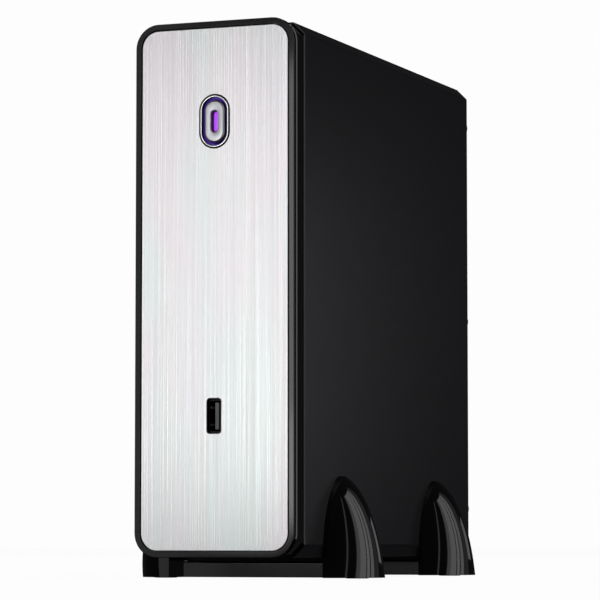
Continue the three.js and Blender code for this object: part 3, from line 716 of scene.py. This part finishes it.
def port_shell():
    """The folded metal shell of the USB socket."""
    outer = corner_ring(5.7 * MM, 13.2 * MM, 0.5 * MM, 4)
    inner = corner_ring(5.1 * MM, 12.6 * MM, 0.3 * MM, 4)
    profile = [(outer, 15.8), (outer, 1.8), (inner, 1.8), (inner, 14.8)]
    rings = [at_depth(ring, y * MM, (0, PORT_Z)) for ring, y in profile]
    shell = smooth(loft("port_shell", rings), 40)
    dress(shell, "dark_metal", "case", "nickel", "usb_shell")


def port_tongue():
    """The USB socket's tongue with its four contacts."""
    low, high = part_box("usb_tongue")
    low.y = FRONT + 2.1 * MM
    low.x -= TONGUE_SHIFT
    high.x -= TONGUE_SHIFT
    tongue = block("port_tongue", low, high)
    dress(soften(tongue, 0.25 * MM), "grey_plastic", "case", "black_plastic", "usb_tongue")
    for i in range(4):
        z = PORT_Z + (i - 1.5) * 2.4 * MM
        pin = block(
            f"port_contact_{i + 1}",
            (low.x - 0.12 * MM, low.y + 0.6 * MM, z - 0.5 * MM),
            (low.x + 0.1 * MM, high.y - 3 * MM, z + 0.5 * MM),
        )
        dress(soften(pin, 0.05 * MM), "gold", "case", "nickel")


def port_springs():
    """The USB socket's two spring fingers."""
    for i, height in enumerate((-3.5 * MM, 3.5 * MM), 1):
        z = PORT_Z + height
        spring = block(
            f"port_spring_{i}",
            (-2.4 * MM, FRONT + 2.4 * MM, z - 0.5 * MM),
            (-1.8 * MM, FRONT + 5.4 * MM, z + 0.5 * MM),
        )
        dress(soften(spring, 0.3 * MM, 4), "satin_silver", "case", "nickel")


# ---------- Steel case ----------
SLEEVE_START = 0.8 * MM  # how far behind the CAD cover's front edge the sleeve starts


def fillet_path(points, radius):
    """The open (x, z) path with each corner between its ends rounded."""
    steps = 5
    path = [Vector(points[0])]
    for before, corner, after in zip(points, points[1:], points[2:]):
        before, corner, after = Vector(before), Vector(corner), Vector(after)
        a, b = (before - corner).normalized(), (after - corner).normalized()
        half = a.angle(b) / 2
        reach = radius / math.tan(half)
        centre = corner + (a + b).normalized() * (radius / math.sin(half))
        start, end = corner + a * reach - centre, corner + b * reach - centre
        turn = start.angle_signed(end)
        for i in range(steps + 1):
            angle = -turn * i / steps
            spin = Matrix.Rotation(angle, 2)
            path.append(centre + spin @ start)
    path.append(Vector(points[-1]))
    return path


def folded_sheet(name, path, y0, y1):
    """Sheet metal folded along the (x, z) path, with its thickness on the path's right."""
    inner = []
    for i, point in enumerate(path):
        before, after = path[max(i - 1, 0)], path[min(i + 1, len(path) - 1)]
        along = (after - before).normalized()
        inner.append(point + SHEET * Vector((along.y, -along.x)))
    section = path + inner[::-1]
    edit = bmesh.new()
    rows = [[edit.verts.new((p.x, y, p.y)) for p in section] for y in (y0, y1)]
    count = len(section)
    for i in range(count):
        j = (i + 1) % count
        edit.faces.new((rows[0][i], rows[0][j], rows[1][j], rows[1][i]))
    for row in rows:
        for i in range(len(path) - 1):
            edit.faces.new((row[i], row[i + 1], row[count - 2 - i], row[count - 1 - i]))
    return to_object(name, edit)


def vent_slot(y, z):
    """The shape cut out of the sheet at height z for one slot across the case."""
    shape = moved(corner_ring(30 * MM, 3 * MM, 1.45 * MM, 5), 0, y)
    return slab(
        "vent_slot", [shape], lambda a, b: (a, b, z - 2 * MM), lambda a, b: (a, b, z + 2 * MM)
    )


def cover_sleeve():
    """The sleeve folded round the top, the right side and the bottom, with rows of vent slots."""
    low, high = COVER_LOW, COVER_HIGH
    outline = [
        (low.x, high.z),
        (high.x - CHAMFER, high.z),
        (high.x, high.z - CHAMFER),
        (high.x, low.z + CHAMFER),
        (high.x - CHAMFER, low.z),
        (low.x, low.z),
    ]
    sleeve = folded_sheet("cover_sleeve", fillet_path(outline, 1.3 * MM), low.y + SLEEVE_START, high.y)
    slots = 10
    pitch = 9 * MM
    first = FRONT + 84 * MM
    for z in (low.z, high.z):
        for i in range(slots):
            boolean(sleeve, vent_slot(first + i * pitch, z), "DIFFERENCE")
    dress(soften(sleeve, 0.45 * MM, 1), "black_steel", "cover_sleeve", "black_steel", "cover")


def cover_lip():
    """The cover's wall over the rear plate, with a hole for each thumb screw."""
    lip_low, lip_high = 24 * MM, COVER_HIGH.x - 0.5 * MM
    centre = ((lip_low + lip_high) / 2, MID_Z)
    loops = [corner_ring(lip_high - lip_low, HEIGHT - 14 * MM, 2 * MM, 5)]
    for i in (1, 2, 3):
        low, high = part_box(f"thumb_screw_{i}")
        x, z = (low.x + high.x) / 2, (low.z + high.z) / 2
        loops.append(moved(oval(3.6 * MM, 3.6 * MM, 5), x - centre[0], z - centre[1]))
    depth = COVER_HIGH.y - FRONT
    lip = front_slab("cover_rear_lip", loops, depth - 0.9 * MM, depth, centre)
    dress(soften(lip, 0.2 * MM), "black_steel", "cover_sleeve", "black_steel", "cover")


def knurled_circle(radius, depth):
    """A circle of points with teeth of that depth."""
    teeth = 28
    points = []
    for k in range(4 * teeth):
        reach = radius - (depth if k % 4 in (1, 2) else 0)
        angle = 2 * math.pi * k / (4 * teeth)
        points.append((reach * math.cos(angle), reach * math.sin(angle)))
    return points


def thumb_screw(i):
    """A turned screw with a knurled rim, a coin slot and a shank."""
    node = f"thumb_screw_{i}"
    low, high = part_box(node)
    centre = ((low.x + high.x) / 2, (low.z + high.z) / 2)
    radius = (high.x - low.x) / 2
    back = high.y - FRONT
    head = 5.2 * MM
    knurled = 0.28 * MM
    profile = [
        (1.4 * MM, back - 14.8 * MM, 0),
        (1.4 * MM, back - head, 0),
        (radius - 0.8 * MM, back - head, 0),
        (radius - 0.2 * MM, back - head + 0.5 * MM, 0),
        (radius, back - head + 0.7 * MM, knurled),
        (radius, back - 1 * MM, knurled),
        (radius - 0.25 * MM, back - 0.7 * MM, 0),
        (radius - 0.7 * MM, back - 0.15 * MM, 0),
        (radius - 1.3 * MM, back, 0),
    ]
    rings = [at_depth(knurled_circle(reach, depth), y, centre) for reach, y, depth in profile]
    screw = loft(f"thumb_screw_head_{i}", rings)
    slot = block(
        "coin_slot",
        (centre[0] - 0.6 * MM, high.y - 1.1 * MM, centre[1] - radius),
        (centre[0] + 0.6 * MM, high.y + 1 * MM, centre[1] + radius),
    )
    boolean(screw, slot, "DIFFERENCE")
    dress(smooth(screw, 35), "nickel", f"screw_{i}", "nickel", node)


# ---------- Feet ----------
# Seen from above, a fin is two quarter ellipses that meet on a ridge.
FIN_OUT = 19.4 * MM  # reach to the side
FIN_FRONT = 21 * MM  # reach in front of the ridge
FIN_REAR = 12 * MM  # reach behind the ridge
FIN_RIDGE = 3.7 * MM  # from the middle of the pads back to the foot of the ridge
FIN_BOW = 3.5 * MM  # how far the ridge bows forward halfway up
FIN_SUNK = 2.5 * MM  # how far inside the fin's inner face the ellipses have their centre
FIN_HIGH = 43 * MM
FIN_INNER = HALF_CASE + 0.3 * MM
FOOT_FLOOR = 0.3 * MM  # the stand's height over the ground, on its rubber soles


def fin_ring(share, side, centre):
    """A fin's outline at that share of its height: two quarter ellipses that meet on a bowed ridge."""
    steps = 24
    bow = 4 * FIN_BOW * share * (1 - share)
    width = (1 - share**2.1) ** 0.61
    front = FIN_FRONT * (1 - share**2.6) ** 0.62 - bow
    z = FOOT_FLOOR + share * (FIN_HIGH - FOOT_FLOOR)
    reach = FIN_OUT * width + FIN_SUNK
    last_turn = math.acos(FIN_SUNK / reach)
    ring = []
    for i in range(-steps, steps + 1):
        turn = last_turn * i / steps
        deep = front if i < 0 else FIN_REAR * width
        x = FIN_INNER - FIN_SUNK + reach * math.cos(turn)
        ring.append((side * x, centre + FIN_RIDGE - bow + deep * math.sin(turn), z))
    return ring


def fin(name, side, centre):
    """A horn that stands beside the case and narrows to its tip."""
    levels = 48
    shares = [0.99 * (1 - (1 - level / levels) ** 1.7) for level in range(levels + 1)]
    return loft(name, [fin_ring(share, side, centre) for share in shares])


def foot_stand(name):
    """The bar under the case, rounded along its upper edges, with a fin at each end."""
    low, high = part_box(f"{name}_pad_left")
    centre = (low.y + high.y) / 2
    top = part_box(f"{name}_cushion")[0].z - 0.3 * MM
    front, rear = centre - 1.5 * MM, centre + 15 * MM
    edge, bevel = 1 * MM, 0.3 * MM
    profile = [(front, FOOT_FLOOR + bevel), (front + bevel, FOOT_FLOOR)]
    profile += [(rear - bevel, FOOT_FLOOR), (rear, FOOT_FLOOR + bevel)]
    for middle, start in ((rear - edge, 0), (front + edge, 90)):
        for i in range(7):
            angle = math.radians(start + 15 * i)
            profile.append((middle + edge * math.cos(angle), top - edge + edge * math.sin(angle)))
    reach = FIN_INNER + 1 * MM
    piece = loft(f"{name}_stand", [[(x, y, z) for y, z in profile] for x in (-reach, reach)])
    for side in (-1, 1):
        boolean(piece, fin("fin", side, centre), "UNION")
    piece.visible_glossy = False
    dress(smooth(piece, 32), "gloss_black", "case", "gloss_black", f"{name}_foot")


def foot_grip(name):
    """The rubber cushion between the stand and the case, with a margin above and below."""
    low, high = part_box(f"{name}_cushion")
    margin = Vector((0, 0, 0.29 * MM))
    grip = block(f"{name}_grip", low - margin, high + margin)
    dress(soften(grip, 0.3 * MM), "rubber", "case", "rubber", f"{name}_cushion")


def foot_sole(name, hand):
    """A round rubber sole, bevelled along its lower edge and hollow in the middle."""
    low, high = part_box(f"{name}_pad_{hand}")
    middle = (low + high) / 2
    radius = (high.x - low.x) / 2
    profile = [
        (radius, high.z),
        (radius, low.z + 0.5 * MM),
        (radius - 0.15 * MM, low.z + 0.15 * MM),
        (radius - 0.5 * MM, low.z),
        (radius - 2 * MM, low.z),
        (radius - 2.3 * MM, low.z + 0.2 * MM),
    ]
    turns = [2 * math.pi * k / 48 for k in range(48)]
    circle = [(math.cos(turn), math.sin(turn)) for turn in turns]
    rings = [[(middle.x + r * x, middle.y + r * y, z) for x, y in circle] for r, z in profile]
    pad = smooth(loft(f"{name}_sole_{hand}", rings), 40)
    dress(pad, "rubber", "case", "rubber", f"{name}_pad_{hand}")


def foot(name):
    foot_stand(name)
    foot_grip(name)
    foot_sole(name, "left")
    foot_sole(name, "right")


# ---------- Carried-over CAD nodes ----------
# How far edges are rounded, in millimetres.
CAD_EDGE = 0.2
CAD_EDGES = {"chassis_base": 0.35, "rear_plate": 0.15, "io_shield": 0.08, "mainboard": 0.12}
CAD_MATERIALS = {"purple_lens": "ring_light"}


def carry_over():
    """Every CAD node still shown gets its slot's material and small rounded edges."""
    slots = {row["node"]: row["material_slot"] for row in frame["record"]["subparts"]}
    for name, node in frame["nodes"].items():
        if node.hide_render:
            continue
        slot = slots[name]
        material = MATERIALS[CAD_MATERIALS.get(slot, slot)]
        node.data.materials.clear()
        node.data.materials.append(material)
        weld = node.modifiers.new("weld", "WELD")
        weld.merge_threshold = 0.000001
        soften(node, CAD_EDGES.get(name, CAD_EDGE) * MM)


def build():
    """The front, the case and the feet, and then every node that is carried over from the CAD."""
    front_frame()
    front_backing()
    clip_hooks()
    brushed_panel()
    port_rim()
    button_surround()
    button_cap()
    button_light()
    button_stem()
    port_shell()
    port_tongue()
    port_springs()
    cover_sleeve()
    cover_lip()
    for i in (1, 2, 3):
        thumb_screw(i)
    foot("front")
    foot("rear")
    carry_over()


bpy.context.scene.view_settings.view_transform = "Standard"
make_camera()
make_world()
make_lights()
make_floor()
build()
